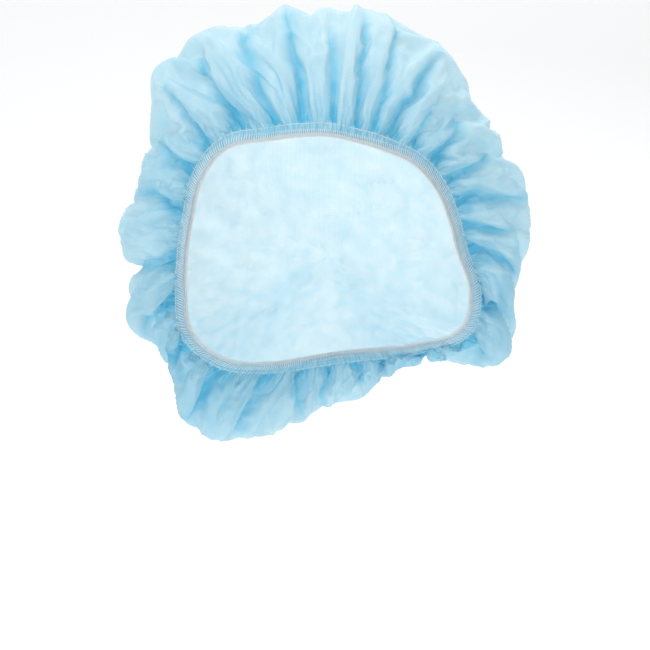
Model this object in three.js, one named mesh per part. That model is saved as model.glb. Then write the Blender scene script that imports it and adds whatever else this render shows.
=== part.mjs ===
// Disposable bouffant cap in its worn form: one disc of thin nonwoven, gathered round its edge onto an
// elastic, so that it stands as a puffed bag with its face opening towards -Y. Millimetres, +Z up.
// The origin is the middle of the elastic's loop, where a head sits.
import * as THREE from "three";

const WALL = 1.2; // wall of the nonwoven bag
const CROWN = { y: 134, z: 4 }; // middle of the disc, at the back of the bag
const OUTLINE_AT = 0.36; // where a meridian reaches the outline, as a share of its way from hem to crown
const PUFF = 7; // how far the bag bulges forward over its hem
const COLUMNS = 112;
const RINGS = 17;

const BAND = { width: 5.6, thick: 1.0 }; // gathered edge strip, from its needle seam to its raw edge
const ELASTIC = { width: 3.6, thick: 1.0, shows: 1.2 }; // flat elastic behind it, and how far it shows past it
const GAP = 0.35; // between neighbouring pieces
const TURN = 2 * Math.PI;

// One meridian each 15 degrees, counted from +X towards +Z: the raw edge's and the outline's radius from
// the Y axis and their place along Y.
const MERIDIANS = [
  { angle: 0, hemRadius: 71, hemY: -42, outRadius: 110, outY: 18 },
  { angle: 15, hemRadius: 68, hemY: -53, outRadius: 112, outY: 8 },
  { angle: 30, hemRadius: 67, hemY: -63, outRadius: 110, outY: 0 },
  { angle: 45, hemRadius: 65, hemY: -73, outRadius: 116, outY: -8 },
  { angle: 60, hemRadius: 61, hemY: -80, outRadius: 125, outY: -17 },
  { angle: 75, hemRadius: 59, hemY: -86, outRadius: 130, outY: -24 },
  { angle: 90, hemRadius: 60, hemY: -88, outRadius: 130, outY: -27 },
  { angle: 105, hemRadius: 62, hemY: -87, outRadius: 130, outY: -25 },
  { angle: 120, hemRadius: 67, hemY: -82, outRadius: 137, outY: -18 },
  { angle: 135, hemRadius: 77, hemY: -71, outRadius: 134, outY: -5 },
  { angle: 150, hemRadius: 79, hemY: -58, outRadius: 117, outY: 8 },
  { angle: 165, hemRadius: 77, hemY: -46, outRadius: 114, outY: 18 },
  { angle: 180, hemRadius: 78, hemY: -37, outRadius: 118, outY: 30 },
  { angle: 195, hemRadius: 82, hemY: -26, outRadius: 116, outY: 42 },
  { angle: 210, hemRadius: 88, hemY: -6, outRadius: 112, outY: 56 },
  { angle: 225, hemRadius: 84, hemY: 28, outRadius: 120, outY: 72 },
  { angle: 240, hemRadius: 72, hemY: 56, outRadius: 120, outY: 84 },
  { angle: 255, hemRadius: 62, hemY: 70, outRadius: 104, outY: 92 },
  { angle: 270, hemRadius: 57, hemY: 75, outRadius: 88, outY: 96 },
  { angle: 285, hemRadius: 57, hemY: 71, outRadius: 79, outY: 90 },
  { angle: 300, hemRadius: 62, hemY: 58, outRadius: 79, outY: 76 },
  { angle: 315, hemRadius: 72, hemY: 34, outRadius: 92, outY: 58 },
  { angle: 330, hemRadius: 85, hemY: -2, outRadius: 117, outY: 42 },
  { angle: 345, hemRadius: 81, hemY: -27, outRadius: 110, outY: 30 },
];

// Main folds: where a ridge (rise above 0) or a dent (below 0) runs out from the hem, its height at the
// outline and its half width in degrees.
const FOLDS = [
  { angle: 5, rise: 3, spread: 6 },
  { angle: 20, rise: 3, spread: 6 },
  { angle: 33, rise: 2, spread: 5 },
  { angle: 42, rise: -2, spread: 4 },
  { angle: 50, rise: -2, spread: 5 },
  { angle: 60, rise: 4, spread: 5 },
  { angle: 70, rise: -2, spread: 4 },
  { angle: 78, rise: 3, spread: 4 },
  { angle: 85, rise: 2, spread: 3 },
  { angle: 92, rise: 2, spread: 3 },
  { angle: 101, rise: 5, spread: 4 },
  { angle: 111, rise: -3, spread: 5 },
  { angle: 122, rise: 4, spread: 5 },
  { angle: 134, rise: 5, spread: 4 },
  { angle: 146, rise: -3, spread: 5 },
  { angle: 157, rise: -2, spread: 4 },
  { angle: 172, rise: 4, spread: 6 },
  { angle: 184, rise: -6, spread: 5 },
  { angle: 197, rise: 4, spread: 7 },
  { angle: 214, rise: -5, spread: 6 },
  { angle: 234, rise: 4, spread: 8 },
  { angle: 262, rise: -4, spread: 8 },
  { angle: 282, rise: 3, spread: 8 },
  { angle: 305, rise: -3, spread: 6 },
  { angle: 327, rise: 3, spread: 6 },
  { angle: 345, rise: -3, spread: 6 },
];
const FOLD_REACH = 0.85; // how far along a meridian the folds run before they fade
const GATHERS = { count: 28, height: 1.6, reach: 0.3 }; // the small pleats next to the hem

// A column of the meridian table at any angle: a periodic cubic through its evenly spaced rows.
function columnAt(name, degrees) {
  const step = 360 / MERIDIANS.length;
  const place = (degrees - MERIDIANS[0].angle) / step;
  const row = Math.floor(place);
  const f = place - row;
  const [a, b, c, d] = [-1, 0, 1, 2].map(
    (k) => MERIDIANS[(row + k + 2 * MERIDIANS.length) % MERIDIANS.length][name]
  );
  return b + 0.5 * f * (c - a + f * (2 * a - 5 * b + 4 * c - d + f * (3 * (b - c) + d - a)));
}

// The angle from one direction to another, from -180 to 180 degrees.
const turned = (degrees) => ((((degrees + 180) % 360) + 360) % 360) - 180;

// Height of all main folds together at an angle: one bell curve for each row of the table.
function foldHeight(degrees) {
  return FOLDS.reduce((sum, fold) => {
    const away = turned(degrees - fold.angle) / fold.spread;
    return sum + fold.rise * Math.exp(-away * away);
  }, 0);
}

const polar = (degrees, radius, y) => {
  const a = THREE.MathUtils.degToRad(degrees);
  return new THREE.Vector3(radius * Math.cos(a), y, radius * Math.sin(a));
};

// A point of the raw edge.
const edgePoint = (degrees) => polar(degrees, columnAt("hemRadius", degrees), columnAt("hemY", degrees));

// The frame of the edge strip at an angle: along is its run, across points from the raw edge over the
// head to the bag, and inward points at the head. The strip lies flat on the head, which faces forward at
// the brow and sideways at the cheeks, so across leans from radial to +Y as the edge runs down.
function edgeFrame(degrees) {
  const along = edgePoint(degrees + 1).sub(edgePoint(degrees - 1)).normalize();
  const lean = 0.35 + 0.45 * Math.cos(THREE.MathUtils.degToRad(degrees)) ** 2;
  const across = polar(degrees, Math.sqrt(1 - lean * lean), lean);
  across.addScaledVector(along, -across.dot(along)).normalize();
  const inward = new THREE.Vector3().crossVectors(along, across).normalize();
  if (inward.dot(polar(degrees, -1, 0)) < 0) inward.negate();
  return { at: edgePoint(degrees), along, across, inward };
}

// A point of the bag's outer face: share is 0 at the needle seam and 1 at the crown. A quarter ellipse
// goes from the seam out to the outline, and another from there back to the crown.
function bagPoint(degrees, share) {
  const { at, across } = edgeFrame(degrees);
  const seam = at.clone().addScaledVector(across, BAND.width + GAP);
  const seamRadius = Math.hypot(seam.x, seam.z);
  const skew = turned(THREE.MathUtils.radToDeg(Math.atan2(seam.z, seam.x)) - degrees);
  const outRadius = columnAt("outRadius", degrees);
  const outY = columnAt("outY", degrees);
  const fade = Math.sin(Math.PI * Math.min(1, share / FOLD_REACH));
  const near = Math.max(0, 1 - share / GATHERS.reach);
  const pleat = GATHERS.height * near * Math.sin(Math.PI * Math.min(1, share * 12))
    * Math.cos(THREE.MathUtils.degToRad(degrees * GATHERS.count));
  const swell = fade * foldHeight(degrees) + pleat;
  if (share <= OUTLINE_AT) {
    const t = (share / OUTLINE_AT) * (Math.PI / 2);
    const radius = seamRadius + (outRadius - seamRadius) * Math.sin(t);
    const y = seam.y + (outY - seam.y) * (1 - Math.cos(t)) - PUFF * Math.sin(2 * t) * Math.cos(t);
    return polar(degrees + skew * (1 - share / OUTLINE_AT) ** 2, radius + swell, y - pleat);
  }
  const t = ((share - OUTLINE_AT) / (1 - OUTLINE_AT)) * (Math.PI / 2);
  const point = polar(degrees, (outRadius + swell) * Math.cos(t), outY + (CROWN.y - outY) * Math.sin(t));
  point.z += CROWN.z * Math.sin(t);
  return point;
}

// A closed mesh from rows of points: each row is a ring of the same length, and rows run from the first
// to the last and, when looped, back to the first. Tips close a row to a single point.
function ringMesh(name, material, rows, { looped = false, tips = [] } = {}) {
  const n = rows[0].length;
  const points = [...rows.flat(), ...tips.map((tip) => tip.point)];
  const index = [];
  const bands = looped ? rows.length : rows.length - 1;
  for (let r = 0; r < bands; r++) {
    const below = r * n;
    const above = ((r + 1) % rows.length) * n;
    for (let c = 0; c < n; c++) {
      const d = (c + 1) % n;
      index.push(below + c, above + c, above + d, below + c, above + d, below + d);
    }
  }
  tips.forEach((tip, k) => {
    const apex = rows.length * n + k;
    for (let c = 0; c < n; c++) {
      const d = (c + 1) % n;
      index.push(...(tip.row === 0 ? [apex, tip.row * n + c, tip.row * n + d] : [tip.row * n + c, apex, tip.row * n + d]));
    }
  });
  const geometry = new THREE.BufferGeometry().setFromPoints(points);
  geometry.setIndex(index);
  geometry.computeVertexNormals();
  const mesh = new THREE.Mesh(geometry, material);
  mesh.name = name;
  return mesh;
}

const angles = Array.from({ length: COLUMNS }, (_, c) => (c * 360) / COLUMNS);

// Outward direction of the bag's face, from the differences of four neighbouring points.
function bagNormal(degrees, share) {
  const round = bagPoint(degrees + 1.5, share).sub(bagPoint(degrees - 1.5, share));
  const up = bagPoint(degrees, Math.min(1, share + 0.01)).sub(bagPoint(degrees, Math.max(0, share - 0.01)));
  return new THREE.Vector3().crossVectors(up, round).normalize();
}

// The bag: the outer face from crown to seam, then the inner face back to the crown.
function bag(material) {
  const shares = Array.from({ length: RINGS }, (_, r) => (r / RINGS) ** 1.1);
  const outer = shares.map((share) => angles.map((a) => bagPoint(a, share)));
  const inward = (a, share) => (share === 0 ? edgeFrame(a).inward : bagNormal(a, share).negate());
  const inner = shares.map((share, r) =>
    angles.map((a, c) => outer[r][c].clone().addScaledVector(inward(a, share), WALL))
  );
  const crown = new THREE.Vector3(0, CROWN.y, CROWN.z);
  const rows = [...[...inner].reverse(), ...outer];
  const tips = [
    { row: 0, point: crown.clone().setY(CROWN.y - WALL) },
    { row: rows.length - 1, point: crown },
  ];
  return ringMesh("bouffant_bag", material, rows, { tips });
}

// A flat band that follows the raw edge: from and to are along the frame's across, and depth from the
// outer face is along inward.
function edgeBand(name, material, from, to, depth, thick) {
  const corner = (across, inward) => angles.map((a) => {
    const frame = edgeFrame(a);
    return frame.at.clone().addScaledVector(frame.across, across).addScaledVector(frame.inward, inward);
  });
  const rows = [corner(from, depth), corner(to, depth), corner(to, depth + thick), corner(from, depth + thick)];
  return ringMesh(name, material, rows, { looped: true });
}

const nonwoven = new THREE.MeshStandardMaterial({ color: 0x9fd8ee, roughness: 0.85, metalness: 0, side: THREE.DoubleSide });
const gatheredEdge = new THREE.MeshStandardMaterial({ color: 0x8ccde8, roughness: 0.85, metalness: 0 });
const rubber = new THREE.MeshStandardMaterial({ color: 0xf0f1ee, roughness: 0.7, metalness: 0 });

const cap = new THREE.Group();
cap.add(bag(nonwoven));
cap.add(edgeBand("gathered_edge", gatheredEdge, 0, BAND.width, 0, BAND.thick));
cap.add(edgeBand("elastic", rubber, -ELASTIC.shows, ELASTIC.width - ELASTIC.shows, BAND.thick + GAP, ELASTIC.thick));

export default cap;
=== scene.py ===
"""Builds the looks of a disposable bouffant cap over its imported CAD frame: the gathered disc of thin
light-blue nonwoven, the white elastic inside its edge, the overlock stitching over both, and a plain pale
stage. Sizes in the tables are millimetres, and everything put into Blender is metres."""

import math
from collections import namedtuple

import bpy
import numpy as np
from bpy.props import FloatProperty, FloatVectorProperty, IntProperty, PointerProperty
from bpy.types import Operator, Panel, PropertyGroup
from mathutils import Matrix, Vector


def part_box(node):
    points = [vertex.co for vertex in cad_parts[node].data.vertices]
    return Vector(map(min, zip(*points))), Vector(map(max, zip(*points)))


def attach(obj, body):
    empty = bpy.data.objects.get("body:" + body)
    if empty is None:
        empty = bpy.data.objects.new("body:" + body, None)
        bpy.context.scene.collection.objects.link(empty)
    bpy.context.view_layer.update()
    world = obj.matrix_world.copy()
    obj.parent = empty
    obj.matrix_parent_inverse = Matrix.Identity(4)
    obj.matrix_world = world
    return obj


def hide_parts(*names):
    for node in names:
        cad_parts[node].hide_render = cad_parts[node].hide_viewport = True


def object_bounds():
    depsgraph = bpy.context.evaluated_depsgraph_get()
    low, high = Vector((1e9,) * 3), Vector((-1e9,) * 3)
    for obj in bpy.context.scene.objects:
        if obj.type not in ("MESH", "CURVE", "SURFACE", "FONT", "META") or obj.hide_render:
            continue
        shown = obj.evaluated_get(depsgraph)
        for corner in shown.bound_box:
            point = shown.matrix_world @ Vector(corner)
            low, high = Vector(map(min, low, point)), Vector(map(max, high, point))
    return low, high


bl_info = {
    "name": "Bouffant cap",
    "version": (1, 0, 0),
    "blender": (4, 5, 0),
    "location": "3D View > Sidebar > Cap",
    "description": "Gathered nonwoven cap with its elastic, overlock stitching and stage",
    "category": "Object",
}

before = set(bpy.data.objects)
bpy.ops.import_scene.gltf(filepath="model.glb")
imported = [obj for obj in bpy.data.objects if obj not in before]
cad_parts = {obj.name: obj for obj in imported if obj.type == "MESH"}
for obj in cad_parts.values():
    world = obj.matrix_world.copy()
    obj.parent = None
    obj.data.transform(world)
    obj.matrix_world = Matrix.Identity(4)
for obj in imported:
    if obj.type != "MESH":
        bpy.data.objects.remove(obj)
CAD_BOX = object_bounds()

MM = 0.001

# ---------------------------------------------------------------------------------------------------------
# The worn form: tables and the smooth loft that the cloth is gathered onto

# One meridian each 15 degrees, counted from +X towards +Z: the raw edge's and the outline's radius from
# the Y axis and their place along Y.
Meridian = namedtuple("Meridian", "angle hem_radius hem_y out_radius out_y")
MERIDIANS = [
    Meridian(0, 71, -42, 110, 18),
    Meridian(15, 68, -53, 112, 8),
    Meridian(30, 67, -63, 110, 0),
    Meridian(45, 65, -73, 116, -8),
    Meridian(60, 61, -80, 125, -17),
    Meridian(75, 59, -86, 130, -24),
    Meridian(90, 60, -88, 130, -27),
    Meridian(105, 62, -87, 130, -25),
    Meridian(120, 67, -82, 137, -18),
    Meridian(135, 77, -71, 134, -5),
    Meridian(150, 79, -58, 117, 8),
    Meridian(165, 77, -46, 114, 18),
    Meridian(180, 78, -37, 118, 30),
    Meridian(195, 82, -26, 116, 42),
    Meridian(210, 88, -6, 112, 56),
    Meridian(225, 84, 28, 120, 72),
    Meridian(240, 72, 56, 120, 84),
    Meridian(255, 62, 70, 104, 92),
    Meridian(270, 57, 75, 88, 96),
    Meridian(285, 57, 71, 79, 90),
    Meridian(300, 62, 58, 79, 76),
    Meridian(315, 72, 34, 92, 58),
    Meridian(330, 85, -2, 117, 42),
    Meridian(345, 81, -27, 110, 30),
]

# Main folds: where a ridge (rise above 0) or a dent (below 0) runs out from the hem, its height at the
# outline and its half width in degrees.
Fold = namedtuple("Fold", "angle rise spread")
FOLDS = [
    Fold(5, 3, 6),
    Fold(20, 3, 6),
    Fold(33, 2, 5),
    Fold(42, -2, 4),
    Fold(50, -2, 5),
    Fold(60, 4, 5),
    Fold(70, -2, 4),
    Fold(78, 3, 4),
    Fold(85, 2, 3),
    Fold(92, 2, 3),
    Fold(101, 5, 4),
    Fold(111, -3, 5),
    Fold(122, 4, 5),
    Fold(134, 5, 4),
    Fold(146, -3, 5),
    Fold(157, -2, 4),
    Fold(172, 4, 6),
    Fold(184, -6, 5),
    Fold(197, 4, 7),
    Fold(214, -5, 6),
    Fold(234, 4, 8),
    Fold(262, -4, 8),
    Fold(282, 3, 8),
    Fold(305, -3, 6),
    Fold(327, 3, 6),
    Fold(345, -3, 6),
]

# Wedge creases, where the cloth tucks in between two puffs: the angle at the hem, the angle at the tip,
# the share of a meridian at the tip, the depth in mm and the half width in degrees at the hem.
Crease = namedtuple("Crease", "angle tip_angle tip depth half_width")
CREASES = [
    Crease(38, 47, 0.26, 6.0, 5.0),
    Crease(49, 54, 0.20, 4.0, 3.5),
    Crease(60, 62, 0.30, 6.5, 5.0),
    Crease(68, 76, 0.36, 4.5, 3.0),
    Crease(77, 83, 0.34, 5.0, 3.5),
    Crease(89, 90, 0.27, 5.0, 3.5),
    Crease(102, 99, 0.36, 7.0, 5.5),
    Crease(115, 110, 0.36, 5.5, 4.0),
    Crease(129, 123, 0.27, 5.5, 4.5),
    Crease(141, 134, 0.24, 5.0, 4.0),
    Crease(151, 147, 0.28, 5.0, 4.5),
    Crease(166, 160, 0.30, 5.5, 5.0),
    Crease(184, 184, 0.40, 7.0, 5.5),
    Crease(199, 203, 0.36, 6.5, 5.0),
    Crease(214, 212, 0.30, 5.5, 5.0),
    Crease(227, 229, 0.34, 5.0, 5.0),
    Crease(243, 240, 0.40, 6.0, 5.0),
    Crease(256, 258, 0.30, 4.5, 4.5),
    Crease(269, 266, 0.42, 5.5, 5.0),
    Crease(284, 287, 0.32, 5.0, 4.5),
    Crease(298, 296, 0.40, 5.5, 5.0),
    Crease(313, 316, 0.30, 5.0, 4.5),
    Crease(327, 325, 0.36, 5.0, 4.5),
    Crease(341, 341, 0.30, 5.5, 5.0),
    Crease(358, 355, 0.34, 7.0, 5.5),
    Crease(9, 7, 0.22, 4.0, 4.0),
    Crease(19, 15, 0.36, 6.5, 5.0),
    Crease(29, 31, 0.24, 4.5, 4.0),
]

# Corners of the crisp outline: how far in mm the outline is drawn out (above 0) or in (below 0) at an
# angle, with straight runs between the rows.
Corner = namedtuple("Corner", "angle shift")
CORNERS = [
    Corner(9, -4),
    Corner(15, -1),
    Corner(27, 1),
    Corner(33, -6),
    Corner(40, 3),
    Corner(47, -4),
    Corner(57, -2),
    Corner(63, 0),
    Corner(72, -3),
    Corner(84, 5),
    Corner(88, -4),
    Corner(92, 0),
    Corner(96, -4),
    Corner(100, 4),
    Corner(106, -6),
    Corner(117, 4),
    Corner(126, -6),
    Corner(135, 1),
    Corner(142, -7),
    Corner(155, 1),
    Corner(164, -7),
    Corner(176, -1),
    Corner(183, -10),
    Corner(194, -2),
    Corner(207, -4),
    Corner(213, 2),
    Corner(221, -4),
    Corner(234, 6),
    Corner(242, 1),
    Corner(300, -2),
    Corner(316, -12),
    Corner(322, -16),
    Corner(328, -3),
    Corner(333, -1),
    Corner(340, -5),
    Corner(352, -3),
]

CROWN_Y, CROWN_Z = 134.0, 4.0  # middle of the back, where the meridians meet
OUTLINE_AT = 0.36  # share of a meridian at which it reaches the outline
PUFF = 7.0  # how far the bag bulges forward over its hem
STRIP = 5.95  # width of the flat strip from the raw edge to the needle seam
STRIP_SHARE = 0.022  # its share of a meridian's parameter
FOLD_REACH = 0.72  # share of a meridian at which the main folds have faded
CORNER_REACH = 0.8  # way at which the corners have faded

# How many times its worn length of cloth a ring may hold, from the raw edge (way 0) to the crown (way
# 1), for the three passes that gather it: broad folds first, then pleats, then the fine pleats next to
# the elastic.
Fullness = namedtuple("Fullness", "way broad pleats fine")
FULLNESS = [
    Fullness(0.00, 1.02, 1.05, 1.60),
    Fullness(0.02, 1.10, 1.35, 1.80),
    Fullness(0.06, 1.14, 1.35, 1.60),
    Fullness(0.15, 1.14, 1.28, 1.40),
    Fullness(0.36, 1.10, 1.17, 1.23),
    Fullness(0.60, 1.03, 1.05, 1.08),
    Fullness(0.80, 1.00, 1.00, 1.01),
    Fullness(1.00, 1.00, 1.00, 1.00),
]

# How far in mm the cloth may stand off the creased form along the way.
Slack = namedtuple("Slack", "way room")
SLACK = [
    Slack(0, 0.2),
    Slack(0.022, 0.9),
    Slack(0.08, 3.5),
    Slack(0.30, 6.5),
    Slack(0.60, 5.0),
    Slack(0.85, 2.5),
    Slack(1.0, 1.5),
]

# The three passes: columns and rings of the grid, steps of relaxation, height of the first ruffle in
# mm.
Pass = namedtuple("Pass", "columns rings steps ruffle")
PASSES = [Pass(160, 28, 150, 2.0), Pass(320, 56, 120, 0.8), Pass(640, 112, 100, 0.35)]

CLOTH_END = 0.994  # the way of the last ring; a fan of triangles closes what is left
FIRMNESS = 0.5  # share of its error that a thread loses in one step
FULL_AT_EDGE = 1.85  # gathering that counts as full: the raw edge is 2.85 times the elastic's loop

# The elastic and the thread, in mm
ELASTIC_THICK = 1.0
ELASTIC_SHOWS = 1.2  # how far the elastic stands past the raw edge
ELASTIC_INSET = 1.85  # from the raw edge inwards to the middle of the elastic
ELASTIC_RIB = 0.12  # height of its ribs
ELASTIC_COLUMNS = 1800
NEEDLE_AT = 5.4  # from the raw edge to the needle thread
LOOPER_REACH = 5.2
LOOPER_PAST = 1.5  # how far a looper loop hangs past the raw edge
STITCH_STEPS = 10  # points on the path of one stitch
THREAD_SIDES = 6
THREAD_TURNS_FROM = np.array([0.0, 0.02, 0.0])  # a point inside the cap, in metres


def unit(v):
    """v divided by its length, along the last axis."""
    return v / np.maximum(np.linalg.norm(v, axis=-1, keepdims=True), 1e-12)


def turned(degrees):
    """The same turn as degrees, from -180 to 180."""
    return (degrees + 180) % 360 - 180


def around(field, degrees):
    """A column of the meridian table at any angle: a periodic cubic through its evenly spaced rows."""
    rows = np.array([getattr(m, field) for m in MERIDIANS], float)
    place = np.asarray(degrees, float) / (360 / len(rows))
    row = np.floor(place).astype(int)
    f = place - row
    a, b, c, d = (rows[(row + k) % len(rows)] for k in (-1, 0, 1, 2))
    return b + 0.5 * f * (c - a + f * (2 * a - 5 * b + 4 * c - d + f * (3 * (b - c) + d - a)))


def fold_height(degrees):
    """Height of all main folds at an angle: the sum of one bell curve for each row of the table."""
    return sum(f.rise * np.exp(-((turned(degrees - f.angle) / f.spread) ** 2)) for f in FOLDS)


def polar(degrees, radius, y):
    """The point at an angle and radius round the Y axis, at y."""
    a = np.radians(degrees)
    return np.stack(np.broadcast_arrays(radius * np.cos(a), y, radius * np.sin(a)), -1)


def edge_point(degrees):
    """A point of the raw edge: the table's hem radius and hem y at that angle."""
    return polar(degrees, around("hem_radius", degrees), around("hem_y", degrees))


def edge_frame(degrees):
    """The raw edge at an angle with three directions: along its run; across, from the edge over the head
    to the bag, leaning from radial to +Y as the edge runs down; and inward, at the head."""
    at = edge_point(degrees)
    along = unit(edge_point(degrees + 1) - edge_point(degrees - 1))
    lean = 0.35 + 0.45 * np.cos(np.radians(degrees)) ** 2
    across = polar(degrees, np.sqrt(1 - lean * lean), lean)
    across = unit(across - along * (across * along).sum(-1, keepdims=True))
    inward = np.cross(along, across)
    inward *= np.sign((inward * polar(degrees, -1.0, 0.0)).sum(-1, keepdims=True))
    return at, along, across, inward


def bag_point(degrees, share):
    """A point of the bag: a quarter ellipse goes from the needle seam (share 0) out to the outline, and
    another from there back to the crown (share 1). The main folds raise it in a sine along the way."""
    at, _, across, _ = edge_frame(degrees)
    seam = at + across * STRIP
    seam_radius = np.hypot(seam[..., 0], seam[..., 2])
    skew = turned(np.degrees(np.arctan2(seam[..., 2], seam[..., 0])) - degrees)
    out_radius, out_y = around("out_radius", degrees), around("out_y", degrees)
    swell = np.sin(np.pi * np.minimum(1, share / FOLD_REACH)) * fold_height(degrees)
    near = np.minimum(share / OUTLINE_AT, 1)
    t = near * np.pi / 2
    front = polar(
        degrees + skew * (1 - near) ** 2,
        seam_radius + (out_radius - seam_radius) * np.sin(t) + swell,
        seam[..., 1] + (out_y - seam[..., 1]) * (1 - np.cos(t)) - PUFF * np.sin(2 * t) * np.cos(t),
    )
    u = np.clip((share - OUTLINE_AT) / (1 - OUTLINE_AT), 0, 1) * np.pi / 2
    back = polar(degrees, (out_radius + swell) * np.cos(u), out_y + (CROWN_Y - out_y) * np.sin(u))
    back[..., 2] += CROWN_Z * np.sin(u)
    return np.where((share <= OUTLINE_AT)[..., None], front, back)


def worn_point(degrees, way):
    """A point of the worn disc: way 0 is the raw edge, the flat strip takes the first STRIP_SHARE of the
    way, and the bag the rest."""
    at, _, across, _ = edge_frame(degrees)
    strip = at + across * (STRIP * np.minimum(way / STRIP_SHARE, 1))[..., None]
    share = np.clip((way - STRIP_SHARE) / (1 - STRIP_SHARE), 0, 1)
    return np.where((way < STRIP_SHARE)[..., None], strip, bag_point(degrees, share))


def tucked(degrees, way):
    """How far a place lies inside a wedge crease, 0 to 1, and the crease's depth there in mm. A crease is
    a V across the meridians that narrows along the way, and its depth rises soon after the hem and fades
    at the tip."""
    deep, depth = np.zeros(np.shape(degrees)), np.zeros(np.shape(degrees))
    for c in CREASES:
        gone = np.clip((way - STRIP_SHARE) / (c.tip - STRIP_SHARE), 0, 1)
        middle = c.angle + turned(c.tip_angle - c.angle) * gone
        half = c.half_width * (1 - 0.72 * gone)
        v = np.clip(1.08 - np.sqrt((turned(degrees - middle) / half) ** 2 + 0.006), 0, 1)
        fade = np.sin(np.pi * gone**0.6)
        deep = np.maximum(deep, v * np.minimum(1, 3 * (1 - gone)) * (gone > 0))
        depth = np.maximum(depth, c.depth * v * fade)
    return deep, depth


def uneven(u, v, seed, wrap=64):
    """Smooth seeded unevenness: random heights on a lattice, blended between its points, at any places u
    and v. The lattice repeats after wrap points along u, so that it closes round a ring."""
    heights = np.random.default_rng(seed).standard_normal((64, wrap))
    iu, iv = np.floor(u).astype(int), np.floor(v).astype(int)
    fu, fv = u - iu, v - iv
    fu, fv = fu * fu * (3 - 2 * fu), fv * fv * (3 - 2 * fv)
    a = heights[iv % 64, iu % wrap] * (1 - fu) + heights[iv % 64, (iu + 1) % wrap] * fu
    b = heights[(iv + 1) % 64, iu % wrap] * (1 - fu) + heights[(iv + 1) % 64, (iu + 1) % wrap] * fu
    return a * (1 - fv) + b * fv


def creased_point(degrees, way):
    """The worn form with the corners of its outline drawn out, its wedge creases pressed in, and shallow
    crumples about 19 and 9 mm across over the back, where no gathers reach."""
    smooth = worn_point(degrees, way)
    out = face_normals(smooth)
    _, depth = tucked(degrees, way)
    corners = np.array(CORNERS, float)
    fade = np.sin(np.pi * np.clip(way / CORNER_REACH, 0, 1))
    shift = np.interp(degrees, corners[:, 0], corners[:, 1], period=360) * fade
    back = np.interp(way, [0.3, 0.55, 1], [0, 1, 1])
    x, z = smooth[..., 0], smooth[..., 2]
    crumple = 2.2 * np.abs(uneven(x / 19, z / 19, 3)) + 0.9 * np.abs(uneven(z / 9 + 7, x / 9, 4)) - 1.7
    return smooth + polar(degrees, shift, 0) + out * (crumple * back - depth)[..., None]


def to_frame(points):
    """Millimetres of the tables to metres of the row frame: a shift and stretch that takes the smooth
    loft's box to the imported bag's box, so that the cloth follows the CAD."""
    degrees, way = np.meshgrid(np.arange(0, 360, 360 / 112), np.linspace(STRIP_SHARE, 1, 60))
    loft = worn_point(degrees, way).reshape(-1, 3)
    low, high = (np.array(c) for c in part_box("bouffant_bag"))
    scale = (high - low) / (loft.max(0) - loft.min(0))
    scale = np.where(np.abs(scale / MM - 1) < 0.05, scale, MM)
    return points * scale + (low + high) / 2 - (loft.max(0) + loft.min(0)) / 2 * scale


# ---------------------------------------------------------------------------------------------------------
# Gathering the disc


def disc_places(degrees, way, radius, pole):
    """Where each grid point lies on the flat disc: the raw edge is spread evenly round the rim, and each
    column is a straight line from there to the point of the disc, pole below its middle, that is worn at
    the crown."""
    fine = np.linspace(0, 1, 241)
    d, w = np.meshgrid(degrees[0], fine)
    walk = worn_point(d, w)
    gone = np.concatenate(
        [np.zeros((1, d.shape[1])), np.cumsum(np.linalg.norm(np.diff(walk, axis=0), axis=-1), 0)]
    )
    gone /= gone[-1]
    hem = np.cumsum(np.linalg.norm(np.roll(walk[0], -1, 0) - walk[0], axis=-1))
    hem = np.concatenate([[0], hem])
    share = hem[:-1] / hem[-1]
    rim_angle = np.pi / 2 + 2 * np.pi * (share - np.interp(90, degrees[0], share))
    rim = radius * np.stack([np.cos(rim_angle), np.sin(rim_angle)], -1)
    row = np.interp(way[:, 0], fine, np.arange(len(fine)))
    low = np.minimum(row.astype(int), len(fine) - 2)
    f = (row - low)[:, None]
    along = (gone[low] * (1 - f) + gone[low + 1] * f)[..., None]
    return rim * (1 - along) + np.array([0, -pole]) * along


def pull(cloth, free, down, over, rest, firmness, only_below=None):
    """One step of a family of threads, each from a grid point to the one down rings and over columns from
    it: both ends move along the thread until it is nearer its rest length. only_below limits it to
    threads that are shorter than that share of their rest length, which is how the cloth resists a sharp
    bend."""
    rows = cloth.shape[0]
    step = np.roll(cloth, -over, 1)[down:] - cloth[: rows - down]
    length = np.sqrt((step * step).sum(-1)) + 1e-9
    gap = length - rest if only_below is None else np.minimum(length - rest * only_below, 0)
    here, there = free[: rows - down], np.roll(free, -over, 1)[down:]
    move = step * (firmness * gap / (length * (here + there + 1e-9)))[..., None]
    cloth[: rows - down] += move * here[..., None]
    cloth[down:] -= np.roll(move * there[..., None], over, 1)


def face_normals(grid):
    """Outward directions of a grid that is closed round its columns."""
    return unit(np.cross(np.gradient(grid, axis=0), np.roll(grid, -1, 1) - np.roll(grid, 1, 1)))


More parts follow.
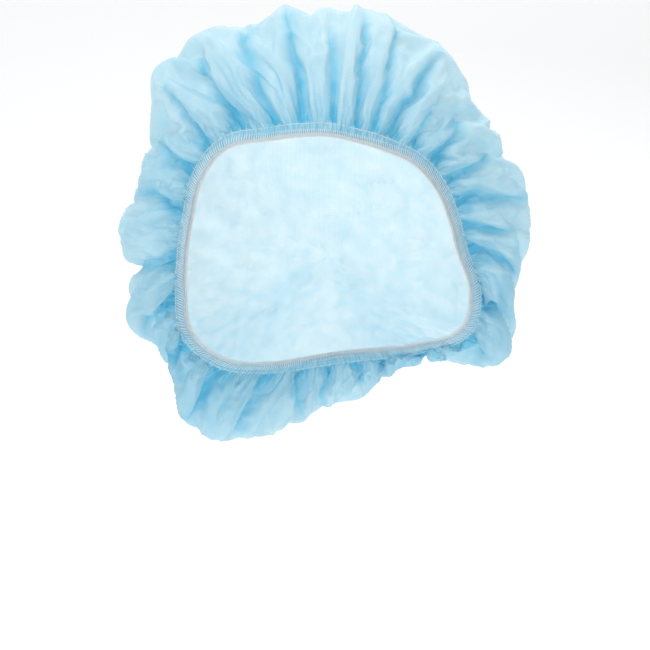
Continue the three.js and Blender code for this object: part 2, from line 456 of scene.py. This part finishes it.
def gather(radius, pole, seed):
    """The disc gathered onto its elastic. Each pass starts from the creased form plus what the last pass
    found, gives each ring and meridian the cloth that the flat disc has there, up to the fullness table,
    and relaxes the threads of the grid (along, across, both diagonals, and longer ones against bending)
    while the raw edge stays on the elastic and the rest is drawn back to within the slack table of the
    form. Returns the cloth in mm, each point's place on the flat disc, how far it lies in a crease, and
    how much the disc is gathered there."""
    offset = None
    for number, p in enumerate(PASSES):
        t = np.arange(p.rings + 1) / p.rings
        degrees, way = np.meshgrid(
            np.arange(p.columns) * 360 / p.columns, CLOTH_END * (0.45 * t + 0.55 * t**2)
        )
        loft = creased_point(degrees, way)
        flat = disc_places(degrees, way, radius, pole)
        column = way[:, :1]
        table = np.array(FULLNESS)
        ring = np.linalg.norm(np.roll(loft, -1, 1) - loft, axis=-1)
        ring *= np.clip(
            np.linalg.norm(np.roll(flat, -1, 1) - flat, axis=-1) / ring,
            1,
            np.interp(column, table[:, 0], table[:, 1 + number]),
        )
        line = np.linalg.norm(np.diff(loft, axis=0), axis=-1)
        line *= np.clip(
            np.linalg.norm(np.diff(flat, axis=0), axis=-1) / line,
            1,
            np.interp(column[1:], [0, 0.6, 0.8], [1.05, 1.05, 1.01]),
        )
        slope = np.sqrt(ring[:-1] ** 2 + line**2)
        ring2, line2 = ring + np.roll(ring, -1, 1), line[1:] + line[:-1]
        start = p.ruffle * np.interp(column, [0, 0.03, 0.1, 0.4, 0.7, 0.9], [0, 0.5, 1, 1, 0.4, 0])
        cloth = loft + (0 if offset is None else offset)
        height = start * uneven(degrees / 5, way * 16, seed + number, 72)
        cloth += face_normals(loft) * height[..., None]
        free = np.ones(way.shape)
        free[0] = 0
        free[1:][way[1:] < STRIP_SHARE * 0.8] = 0.15
        room = np.interp(column, *zip(*SLACK))
        for _ in range(p.steps):
            pull(cloth, free, 0, 1, ring, FIRMNESS)
            pull(cloth, free, 1, 0, line, FIRMNESS)
            pull(cloth, free, 1, 1, slope, 0.15)
            pull(cloth, free, 1, -1, slope, 0.15)
            pull(cloth, free, 0, 2, ring2, 0.3, only_below=0.8)
            pull(cloth, free, 2, 0, line2, 0.3, only_below=0.95)
            pull(cloth, free, 0, 4, 2 * ring2, 0.15, only_below=0.55)
            off = cloth - loft
            far = np.sqrt((off * off).sum(-1)) + 1e-9
            cloth -= off * (np.clip(far - room, 0, None) / far * 0.5 * (free > 0))[..., None]
        offset = (cloth - loft) * np.interp(column, [0.45, 0.75], [1, 0])[..., None]
        cloth = loft + offset
        if number < len(PASSES) - 1:
            finer = np.zeros((offset.shape[0] * 2 - 1, offset.shape[1] * 2, 3))
            finer[::2, ::2] = offset
            finer[::2, 1::2] = (offset + np.roll(offset, -1, 1)) / 2
            finer[1::2] = (finer[:-1:2] + finer[2::2]) / 2
            offset = finer
    smooth = np.linalg.norm(np.roll(loft, -1, 1) - loft, axis=-1)
    full = np.linalg.norm(np.roll(flat, -1, 1) - flat, axis=-1) / smooth
    return cloth, flat, tucked(degrees, way)[0], np.clip((full - 1) / FULL_AT_EDGE, 0, 1)


# ---------------------------------------------------------------------------------------------------------
# Meshes


def new_piece(name, points, faces, material, uv=None):
    """A mesh object at the origin from arrays of points and faces (quads or triangles), with its corner
    UVs."""
    mesh = bpy.data.meshes.new(name)
    faces = np.asarray(faces)
    mesh.vertices.add(len(points))
    mesh.vertices.foreach_set("co", np.asarray(points, np.float32).ravel())
    mesh.loops.add(faces.size)
    mesh.loops.foreach_set("vertex_index", faces.ravel().astype(np.int32))
    mesh.polygons.add(len(faces))
    mesh.polygons.foreach_set("loop_start", np.arange(0, faces.size, faces.shape[1], dtype=np.int32))
    mesh.polygons.foreach_set("use_smooth", np.full(len(faces), True))
    if uv is not None:
        layer = mesh.uv_layers.new(name="cloth_place")
        layer.data.foreach_set("uv", np.asarray(uv, np.float32)[faces.ravel()].ravel())
    mesh.update(calc_edges=True)
    mesh.validate()
    mesh.materials.append(material)
    piece = bpy.data.objects.new(name, mesh)
    bpy.context.scene.collection.objects.link(piece)
    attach(piece, "root")
    return piece


def ring_faces(rows, columns, close_rows=False):
    """Quads of a grid closed round its columns, and round its rows too where close_rows is true."""
    number = np.arange(rows * columns).reshape(rows, columns)
    below = number if close_rows else number[:-1]
    above = np.roll(number, -1, 0) if close_rows else number[1:]
    return np.stack([below, above, np.roll(above, -1, 1), np.roll(below, -1, 1)], -1).reshape(-1, 4)


def tube(path, radius, sides):
    """A round thread carried along a closed path: at each point a circle of the radius stands square to
    the path, its first point set by THREAD_TURNS_FROM. Returns points and quads."""
    ahead = np.roll(path, -1, 0) - np.roll(path, 1, 0)
    ahead = unit(ahead)
    side = unit(np.cross(ahead, path - THREAD_TURNS_FROM))
    up = np.cross(side, ahead)
    a = np.arange(sides) / sides * 2 * np.pi
    points = path[:, None] + radius * (
        side[:, None] * np.cos(a)[:, None] + up[:, None] * np.sin(a)[:, None]
    )
    number = np.arange(len(path) * sides).reshape(len(path), sides)
    then = np.roll(number, -1, 0)
    faces = np.stack([number, np.roll(number, -1, 1), np.roll(then, -1, 1), then], -1).reshape(-1, 4)
    return points.reshape(-1, 3), faces


# ---------------------------------------------------------------------------------------------------------
# Materials


def add(tree, kind, **values):
    """A node with its properties or inputs set by name."""
    node = tree.nodes.new(kind)
    for key, value in values.items():
        if hasattr(node, key):
            setattr(node, key, value)
        else:
            node.inputs[key.replace("_", " ")].default_value = value
    return node


def spread(tree, value, low, high, to_low, to_high):
    """A Map Range node that takes value from low..high to to_low..to_high, and stops there."""
    node = add(tree, "ShaderNodeMapRange", clamp=True)
    tree.links.new(value, node.inputs["Value"])
    for socket, number in (
        ("From Min", low), ("From Max", high), ("To Min", to_low), ("To Max", to_high)
    ):
        node.inputs[socket].default_value = number
    return node.outputs["Result"]


def fibre_group():
    """Loose fibres seen close: a cloudy mask of how much fibre lies at a place, and a fine height of
    single strands. Both are noises on the vector that it is given."""
    name = "Loose fibres"
    if name in bpy.data.node_groups:
        return bpy.data.node_groups[name]
    group = bpy.data.node_groups.new(name, "ShaderNodeTree")
    for label, kind, default in (
        ("Vector", "NodeSocketVector", None),
        ("Cloud size", "NodeSocketFloat", 90.0),
        ("Strand size", "NodeSocketFloat", 1400.0),
    ):
        socket = group.interface.new_socket(name=label, in_out="INPUT", socket_type=kind)
        if default is not None:
            socket.default_value = default
    for label in ("Cloud", "Strands"):
        group.interface.new_socket(name=label, in_out="OUTPUT", socket_type="NodeSocketFloat")
    start, end = group.nodes.new("NodeGroupInput"), group.nodes.new("NodeGroupOutput")
    cloud = add(group, "ShaderNodeTexNoise", Detail=5.0, Roughness=0.62)
    strands = add(group, "ShaderNodeTexNoise", Detail=3.0, Roughness=0.7, Distortion=1.2)
    for noise, size in ((cloud, "Cloud size"), (strands, "Strand size")):
        group.links.new(start.outputs["Vector"], noise.inputs["Vector"])
        group.links.new(start.outputs[size], noise.inputs["Scale"])
    group.links.new(cloud.outputs["Fac"], end.inputs["Cloud"])
    group.links.new(strands.outputs["Fac"], end.inputs["Strands"])
    return group


def fibres(tree, vector, cloud, strand):
    """The fibre group placed in a material with its two sizes."""
    node = add(tree, "ShaderNodeGroup", node_tree=fibre_group())
    tree.links.new(vector, node.inputs["Vector"])
    node.inputs["Cloud size"].default_value = cloud
    node.inputs["Strand size"].default_value = strand
    return node.outputs["Cloud"], node.outputs["Strands"]


def sum_of(tree, *terms):
    """The sum of value sockets, each times its own weight, kept as a chain of multiply-add nodes."""
    total = None
    for value, weight in terms:
        node = add(tree, "ShaderNodeMath", operation="MULTIPLY_ADD")
        tree.links.new(value, node.inputs[0])
        node.inputs[1].default_value = weight
        if total is None:
            node.inputs[2].default_value = 0.0
        else:
            tree.links.new(total, node.inputs[2])
        total = node.outputs["Value"]
    return total


def edge_pleats(tree, uv, count):
    """Fine pleats next to the elastic: a wave that runs count times round the disc, kept to the outermost
    part of the disc. Returns the wave and the mask alone."""
    centre = add(tree, "ShaderNodeVectorMath", operation="SUBTRACT")
    tree.links.new(uv, centre.inputs[0])
    centre.inputs[1].default_value = (0.5, 0.5, 0.0)
    parts = add(tree, "ShaderNodeSeparateXYZ")
    tree.links.new(centre.outputs["Vector"], parts.inputs["Vector"])
    far = add(tree, "ShaderNodeVectorMath", operation="LENGTH")
    tree.links.new(centre.outputs["Vector"], far.inputs[0])
    turn = add(tree, "ShaderNodeMath", operation="ARCTAN2")
    tree.links.new(parts.outputs["Y"], turn.inputs[0])
    tree.links.new(parts.outputs["X"], turn.inputs[1])
    phase = add(tree, "ShaderNodeMath", operation="MULTIPLY")
    tree.links.new(turn.outputs["Value"], phase.inputs[0])
    phase.inputs[1].default_value = float(count)
    wave = add(tree, "ShaderNodeMath", operation="SINE")
    tree.links.new(phase.outputs["Value"], wave.inputs[0])
    near = spread(tree, far.outputs["Value"], 0.470, 0.494, 0.0, 1.0)
    both = add(tree, "ShaderNodeMath", operation="MULTIPLY")
    tree.links.new(spread(tree, wave.outputs["Value"], -0.2, 0.9, 0.0, 1.0), both.inputs[0])
    tree.links.new(near, both.inputs[1])
    return both.outputs["Value"], near


def new_material(name):
    """An empty node material: returns it with its tree and its output node."""
    material = bpy.data.materials.new(name)
    material.use_nodes = True
    material.node_tree.nodes.clear()
    return material, material.node_tree, material.node_tree.nodes.new("ShaderNodeOutputMaterial")


def nonwoven_material(settings):
    """Thin spunbond: pale where little fibre lies and bluer where much does, part see-through, lit
    through from behind, with rows of small pressed bond points and a faint fuzz of strands. Painted shade
    makes it bluer still in the wedge creases, where the disc is gathered most and in the troughs of the
    fine pleats next to the elastic, standing in for the shade and the doubled cloth of the folds."""
    material, tree, out = new_material("spunbond")
    place = add(tree, "ShaderNodeUVMap", uv_map="cloth_place")
    metres = add(tree, "ShaderNodeMapping")
    metres.inputs["Scale"].default_value = (settings.disc_diameter, settings.disc_diameter, 1.0)
    tree.links.new(place.outputs["UV"], metres.inputs["Vector"])
    cloud, strands = fibres(tree, metres.outputs["Vector"], 90.0, 1500.0)
    tuck = add(tree, "ShaderNodeAttribute", attribute_name="tuck").outputs["Fac"]
    fullness = add(tree, "ShaderNodeAttribute", attribute_name="fullness").outputs["Fac"]
    bonds = add(
        tree,
        "ShaderNodeTexVoronoi",
        voronoi_dimensions="2D",
        Scale=1.0 / settings.bond_pitch,
        Randomness=0.0,
    )
    tree.links.new(metres.outputs["Vector"], bonds.inputs["Vector"])
    pressed = spread(tree, bonds.outputs["Distance"], 0.22, 0.34, 1.0, 0.0)
    around_edge, near_edge = edge_pleats(tree, place.outputs["UV"], settings.edge_pleats)
    # Colour mix: the cloud is the fibre's own uneven tone; the tuck, fullness and edge-pleat terms are
    # painted shade, bluer in the creases, the gathered parts and the pleat troughs
    fibre_and_shade = sum_of(
        tree,
        (spread(tree, cloud, 0.3, 0.7, 0.0, 0.28), 1.0),
        (tuck, 0.58),
        (fullness, 0.42),
        (around_edge, 0.25),
    )
    tint = add(tree, "ShaderNodeMix", data_type="RGBA", clamp_factor=True)
    tree.links.new(fibre_and_shade, tint.inputs["Factor"])
    tint.inputs["A"].default_value = (*settings.thin_colour, 1)
    tint.inputs["B"].default_value = (*settings.full_colour, 1)
    colour = tint.outputs["Result"]
    height = sum_of(tree, (pressed, -0.4), (strands, 1.0), (around_edge, -3.0))
    bump = add(tree, "ShaderNodeBump", Strength=0.3, Distance=0.0002)
    tree.links.new(height, bump.inputs["Height"])
    cover = sum_of(
        tree,
        (spread(tree, cloud, 0.3, 0.7, settings.cover - 0.1, settings.cover + 0.02), 1.0),
        (tuck, 0.12),
        (near_edge, 0.08),
        (pressed, -0.03),
    )
    shell = add(tree, "ShaderNodeBsdfPrincipled", Roughness=0.72)
    shell.inputs["Sheen Weight"].default_value = 0.25
    shell.inputs["Sheen Roughness"].default_value = 0.5
    shell.inputs["Specular IOR Level"].default_value = 0.25
    glow = add(tree, "ShaderNodeBsdfTranslucent")
    clear = add(tree, "ShaderNodeBsdfTransparent", Color=(0.93, 0.98, 1.0, 1))
    for socket in (shell.inputs["Base Color"], glow.inputs["Color"]):
        tree.links.new(colour, socket)
    for shader in (shell, glow):
        tree.links.new(bump.outputs["Normal"], shader.inputs["Normal"])
    body = add(tree, "ShaderNodeMixShader")
    body.inputs["Fac"].default_value = settings.lit_through
    tree.links.new(shell.outputs["BSDF"], body.inputs[1])
    tree.links.new(glow.outputs["BSDF"], body.inputs[2])
    sheer = add(tree, "ShaderNodeMixShader")
    tree.links.new(cover, sheer.inputs["Fac"])
    tree.links.new(clear.outputs["BSDF"], sheer.inputs[1])
    tree.links.new(body.outputs["Shader"], sheer.inputs[2])
    tree.links.new(sheer.outputs["Shader"], out.inputs["Surface"])
    return material


def elastic_material(colour):
    """Thread-wrapped rubber: white and matt, a little darker in places, with a fine roughness of fibres.
    Its ribs are in the mesh."""
    material, tree, out = new_material("wrapped_elastic")
    place = add(tree, "ShaderNodeTexCoord")
    cloud, strands = fibres(tree, place.outputs["Object"], 260.0, 2600.0)
    tint = add(tree, "ShaderNodeMix", data_type="RGBA")
    tree.links.new(spread(tree, cloud, 0.35, 0.65, 0.0, 1.0), tint.inputs["Factor"])
    tint.inputs["A"].default_value = (*[c * 0.86 for c in colour], 1)
    tint.inputs["B"].default_value = (*colour, 1)
    bump = add(tree, "ShaderNodeBump", Strength=0.5, Distance=0.0002)
    tree.links.new(strands, bump.inputs["Height"])
    shell = add(tree, "ShaderNodeBsdfPrincipled", Roughness=0.75)
    tree.links.new(tint.outputs["Result"], shell.inputs["Base Color"])
    tree.links.new(bump.outputs["Normal"], shell.inputs["Normal"])
    tree.links.new(shell.outputs["BSDF"], out.inputs["Surface"])
    return material


def thread_material(colour):
    """Spun polyester thread: white with a soft sheen and a fine roughness of fibres."""
    material, tree, out = new_material("overlock_thread")
    place = add(tree, "ShaderNodeTexCoord")
    cloud, strands = fibres(tree, place.outputs["Object"], 500.0, 5200.0)
    tint = add(tree, "ShaderNodeMix", data_type="RGBA")
    tree.links.new(spread(tree, cloud, 0.35, 0.65, 0.0, 1.0), tint.inputs["Factor"])
    tint.inputs["A"].default_value = (*[c * 0.9 for c in colour], 1)
    tint.inputs["B"].default_value = (*colour, 1)
    bump = add(tree, "ShaderNodeBump", Strength=0.4, Distance=0.0001)
    tree.links.new(strands, bump.inputs["Height"])
    shell = add(tree, "ShaderNodeBsdfPrincipled", Roughness=0.55)
    shell.inputs["Sheen Weight"].default_value = 0.3
    tree.links.new(tint.outputs["Result"], shell.inputs["Base Color"])
    tree.links.new(bump.outputs["Normal"], shell.inputs["Normal"])
    tree.links.new(shell.outputs["BSDF"], out.inputs["Surface"])
    return material


def plain_material(name, colour, roughness):
    """A plain pale finish for the stage."""
    material, tree, out = new_material(name)
    shell = add(tree, "ShaderNodeBsdfPrincipled", Base_Color=(*colour, 1), Roughness=roughness)
    tree.links.new(shell.outputs["BSDF"], out.inputs["Surface"])
    return material


# ---------------------------------------------------------------------------------------------------------
# Settings, operators and panel


class CapClothSettings(PropertyGroup):
    """The nonwoven disc"""

    disc_diameter: FloatProperty(
        name="Disc diameter",
        description="Width of the flat disc before it is gathered",
        default=0.533,
        min=0.4,
        max=0.7,
        subtype="DISTANCE",
        unit="LENGTH",
    )
    pole_offset: FloatProperty(
        name="Crown offset",
        description="How far from the disc's middle the point lies that is worn at the crown",
        default=0.080,
        min=0.0,
        max=0.15,
        subtype="DISTANCE",
        unit="LENGTH",
    )
    seed: IntProperty(name="Fold seed", description="Start of the chance folds", default=11, min=0)
    cover: FloatProperty(
        name="Cover",
        description="Share of light that meets a fibre, from 0 clear to 1 dense",
        default=0.84,
        min=0.2,
        max=0.9,
        subtype="FACTOR",
    )
    lit_through: FloatProperty(
        name="Lit through",
        description="Share of the fibre's light that comes through from behind",
        default=0.42,
        min=0.0,
        max=1.0,
        subtype="FACTOR",
    )
    bond_pitch: FloatProperty(
        name="Bond pitch",
        description="Distance between the pressed bond points",
        default=0.0017,
        min=0.0005,
        max=0.01,
        subtype="DISTANCE",
        unit="LENGTH",
    )
    edge_pleats: IntProperty(
        name="Edge pleats",
        description="Fine pleats round the edge, next to the elastic",
        default=440,
        min=60,
        max=900,
    )
    thin_colour: FloatVectorProperty(
        name="Thin colour",
        description="Colour where little fibre lies",
        default=(0.78, 0.925, 0.96),
        size=3,
        min=0,
        max=1,
        subtype="COLOR",
    )
    # Also the colour that the painted shade of the creases, gathered parts and edge pleats runs towards
    full_colour: FloatVectorProperty(
        name="Full colour",
        description="Colour where much fibre lies",
        default=(0.13, 0.60, 0.82),
        size=3,
        min=0,
        max=1,
        subtype="COLOR",
    )


class CapHemSettings(PropertyGroup):
    """The elastic and the overlock stitches"""

    stitches: IntProperty(
        name="Stitches", description="Overlock stitches round the whole hem", default=400, min=60, max=800
    )
    thread: FloatProperty(
        name="Thread",
        description="Thickness of the thread",
        default=0.00032,
        min=0.0001,
        max=0.001,
        subtype="DISTANCE",
        unit="LENGTH",
    )
    rubber_width: FloatProperty(
        name="Elastic width",
        description="Width of the flat elastic",
        default=0.0036,
        min=0.001,
        max=0.01,
        subtype="DISTANCE",
        unit="LENGTH",
    )
    colour: FloatVectorProperty(
        name="Colour",
        description="Colour of the elastic and the thread",
        default=(0.93, 0.95, 0.96),
        size=3,
        min=0,
        max=1,
        subtype="COLOR",
    )


class CapStageSettings(PropertyGroup):
    """The floor, the lights and the camera"""

    distance: FloatProperty(
        name="Camera distance",
        description="Distance of the camera in front of the brow's edge",
        default=1.1,
        min=0.3,
        max=5,
        subtype="DISTANCE",
        unit="LENGTH",
    )
    width: FloatProperty(
        name="Width in view",
        description="Width of the view at the brow's edge",
        default=0.33475,
        min=0.1,
        max=2,
        subtype="DISTANCE",
        unit="LENGTH",
    )
    floor: FloatProperty(
        name="Floor height",
        description="Height of the floor below the eyes",
        default=-0.26,
        min=-1,
        max=0,
        subtype="DISTANCE",
        unit="LENGTH",
    )
    key_power: FloatProperty(
        name="Key light",
        description="Power of the large soft light above and in front",
        default=11.5,
        min=0,
        max=500,
        unit="POWER",
    )
    wall_power: FloatProperty(
        name="Wall light",
        description="Power of the soft light on the backdrop",
        default=22.0,
        min=0,
        max=500,
        unit="POWER",
    )
    back_power: FloatProperty(
        name="Back light",
        description="Power of the soft light above and behind",
        default=10.5,
        min=0,
        max=500,
        unit="POWER",
    )


class CAP_OT_cloth(Operator):
    """Gather the nonwoven disc onto the elastic and give it its finish"""

    bl_idname = "cap.cloth"
    bl_label = "Nonwoven disc"

    def execute(self, context):
        s = context.scene.cap_cloth
        cloth, flat, deep, full = gather(s.disc_diameter / MM / 2, s.pole_offset / MM, s.seed)
        rows, columns = cloth.shape[:2]
        points = np.concatenate([to_frame(cloth).reshape(-1, 3), to_frame(cloth[-1].mean(0))[None]])
        uv = np.concatenate([flat.reshape(-1, 2), flat[-1].mean(0)[None]]) / (s.disc_diameter / MM) + 0.5
        quads = ring_faces(rows, columns)[:, ::-1]
        last = (rows - 1) * columns + np.arange(columns)
        tip = np.full(columns, rows * columns)
        tip_faces = np.stack([last, np.roll(last, -1), tip], -1)
        triangles = np.concatenate([quads[:, [0, 1, 2]], quads[:, [0, 2, 3]], tip_faces])
        piece = new_piece("nonwoven_cap", points, triangles, nonwoven_material(s), uv)
        # tuck and fullness drive the painted shade in the cloth's colour, and tuck also its cover
        for label, grid in (("tuck", deep), ("fullness", full)):
            values = np.concatenate([grid.ravel(), grid[-1:].mean(1)])
            piece.data.attributes.new(label, "FLOAT", "POINT").data.foreach_set(
                "value", values.astype(np.float32)
            )
        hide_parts("bouffant_bag", "gathered_edge")
        return {"FINISHED"}


class CAP_OT_elastic(Operator):
    """Lay the white elastic inside the gathered edge"""

    bl_idname = "cap.elastic"
    bl_label = "Elastic"

    def execute(self, context):
        s = context.scene.cap_hem
        degrees = np.arange(ELASTIC_COLUMNS) * 360 / ELASTIC_COLUMNS
        at, _, across, inward = edge_frame(degrees)
        width = s.rubber_width / MM
        ribs = ELASTIC_RIB * np.cos(np.radians(degrees) * s.stitches)
        profile = np.arange(16) / 16 * 2 * np.pi
        square = np.stack([np.cos(profile), np.sin(profile)], -1)
        square = np.sign(square) * np.abs(square) ** 0.5
        middle = at + across * (width / 2 - ELASTIC_SHOWS) + inward * ELASTIC_INSET
        deep = square[:, 1, None] * (ELASTIC_THICK / 2 + ribs)[None]
        wide = square[:, :1, None] * width / 2
        rows = middle[None] + across[None] * wide + inward[None] * deep[..., None]
        points = to_frame(rows.reshape(-1, 3))
        piece = new_piece(
            "wrapped_elastic",
            points,
            ring_faces(16, ELASTIC_COLUMNS, close_rows=True),
            elastic_material(s.colour),
        )
        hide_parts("elastic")
        return {"FINISHED"}


class CAP_OT_stitches(Operator):
    """Sew the overlock stitches: the needle thread, the looper threads over the edge"""

    bl_idname = "cap.stitches"
    bl_label = "Overlock stitches"

    def execute(self, context):
        s = context.scene.cap_hem
        radius = s.thread / 2
        count = s.stitches * STITCH_STEPS
        degrees = np.arange(count) * 360 / count
        at, along, across, inward = edge_frame(degrees)
        t = np.arange(count) / STITCH_STEPS * 2 * np.pi
        chance = np.resize(np.random.default_rng(5).uniform(-1, 1, s.stitches), s.stitches + 1)
        unevenness = np.interp(np.arange(count), np.arange(0, count + 1, STITCH_STEPS), chance)
        over = NEEDLE_AT + 0.15 * unevenness
        needle = at + across * over[:, None] - inward * (0.55 + 0.25 * np.cos(t))[:, None]
        reach = LOOPER_REACH + 0.35 * unevenness
        reach = reach * (0.42 + 0.58 * np.cos(np.radians(degrees)) ** 2)
        swing = (0.5 - 0.5 * np.cos(t)) * (reach + LOOPER_PAST) - LOOPER_PAST
        lift = 0.75 - 0.2 * np.cos(t * 2)
        slant = 0.25 * np.sin(t)
        looper = at + across * swing[:, None] - inward * lift[:, None] + along * slant[:, None]
        past = -1.35 + 0.12 * np.cos(t)
        bead = at + across * past[:, None] + inward * (0.9 + 0.9 * np.sin(t))[:, None]
        parts, faces, start = [], [], 0
        for path, thick in ((needle, radius * 1.1), (looper, radius * 0.8), (bead, radius)):
            points, quads = tube(to_frame(path), thick, THREAD_SIDES)
            parts.append(points)
            faces.append(quads + start)
            start += len(points)
        piece = new_piece(
            "overlock_thread",
            np.concatenate(parts),
            np.concatenate(faces),
            thread_material(s.colour),
        )
        return {"FINISHED"}


class CAP_OT_stage(Operator):
    """Set up the pale floor, the soft lights and the camera"""

    bl_idname = "cap.stage"
    bl_label = "Stage"

    def execute(self, context):
        s = context.scene.cap_stage
        scene = context.scene
        low, high = CAD_BOX
        middle = (low + high) / 2  # the lights point at it
        across = np.linspace(-3, 3, 13)
        bend = np.linspace(0, np.pi / 2, 17)
        profile = np.concatenate(
            [
                [[-3.0, s.floor]],
                np.stack([0.5 + 2.2 * np.sin(bend), s.floor + 2.2 - 2.2 * np.cos(bend)], -1),
                [[2.7, 4.0]],
            ]
        )
        points = np.stack(
            np.broadcast_arrays(across[None], profile[:, :1], profile[:, 1:]), -1
        ).reshape(-1, 3)
        number = np.arange(len(points)).reshape(len(profile), len(across))
        faces = np.stack(
            [number[:-1, :-1], number[:-1, 1:], number[1:, 1:], number[1:, :-1]], -1
        ).reshape(-1, 4)
        mesh = bpy.data.meshes.new("backdrop")
        mesh.from_pydata(points.tolist(), [], faces.tolist())
        mesh.shade_smooth()
        mesh.materials.append(plain_material("pale_backdrop", (0.94, 0.945, 0.95), 0.9))
        backdrop = bpy.data.objects.new("backdrop", mesh)
        scene.collection.objects.link(backdrop)

        def soft_light(name, place, size, power):
            light = bpy.data.lights.new(name, "AREA")
            light.shape, light.size, light.energy = "SQUARE", size, power
            lamp = bpy.data.objects.new(name, light)
            lamp.location = place
            lamp.rotation_euler = (middle - Vector(place)).to_track_quat("-Z", "Y").to_euler()
            scene.collection.objects.link(lamp)

        soft_light("key_light", (-0.5, -0.9, 1.3), 1.0, s.key_power)
        soft_light("back_light", (0.3, 0.8, 1.2), 1.0, s.back_power)
        wall_light = bpy.data.lights.new("wall_light", "AREA")
        wall_light.shape, wall_light.size, wall_light.energy = "SQUARE", 1.6, s.wall_power
        lamp = bpy.data.objects.new("wall_light", wall_light)
        lamp.location = (0, 1.0, 2.6)
        lamp.rotation_euler = (math.radians(62), 0, 0)
        scene.collection.objects.link(lamp)
        world = bpy.data.worlds.new("studio")
        world.use_nodes = True
        world.node_tree.nodes["Background"].inputs["Color"].default_value = (1, 1, 1, 1)
        world.node_tree.nodes["Background"].inputs["Strength"].default_value = 0.60
        scene.world = world
        camera_data = bpy.data.cameras.new("front_camera")
        camera_data.sensor_width = 36
        camera_data.lens = 36 * s.distance / s.width
        camera = bpy.data.objects.new("front_camera", camera_data)
        camera.location = (-0.002, low.y - s.distance, -0.0386)
        camera.rotation_euler = (math.pi / 2, 0, 0)
        scene.collection.objects.link(camera)
        scene.camera = camera
        scene.view_settings.view_transform = "Standard"
        return {"FINISHED"}


class CAP_PT_panel(Panel):
    """Everything that builds the cap, in order"""

    bl_idname = "CAP_PT_panel"
    bl_label = "Bouffant cap"
    bl_space_type = "VIEW_3D"
    bl_region_type = "UI"
    bl_category = "Cap"

    def draw(self, context):
        for title, settings, operators in (
            ("Cloth", context.scene.cap_cloth, ["cap.cloth"]),
            ("Hem", context.scene.cap_hem, ["cap.elastic", "cap.stitches"]),
            ("Stage", context.scene.cap_stage, ["cap.stage"]),
        ):
            box = self.layout.box()
            box.label(text=title)
            for key in settings.bl_rna.properties.keys():
                if key not in ("rna_type", "name"):
                    box.prop(settings, key)
            for name in operators:
                box.operator(name)


CLASSES = (
    CapClothSettings,
    CapHemSettings,
    CapStageSettings,
    CAP_OT_cloth,
    CAP_OT_elastic,
    CAP_OT_stitches,
    CAP_OT_stage,
    CAP_PT_panel,
)
SETTINGS = (("cap_cloth", CapClothSettings), ("cap_hem", CapHemSettings), ("cap_stage", CapStageSettings))


def register():
    """Register the classes and hang the settings on the scene."""
    for c in CLASSES:
        bpy.utils.register_class(c)
    for name, kind in SETTINGS:
        setattr(bpy.types.Scene, name, PointerProperty(type=kind))


def unregister():
    """Take the settings and the classes away again."""
    for name, _ in SETTINGS:
        delattr(bpy.types.Scene, name)
    for c in reversed(CLASSES):
        bpy.utils.unregister_class(c)


def main():
    """Build the pieces in order."""
    register()
    bpy.ops.cap.cloth()
    bpy.ops.cap.elastic()
    bpy.ops.cap.stitches()
    bpy.ops.cap.stage()


if __name__ == "__main__":
    main()
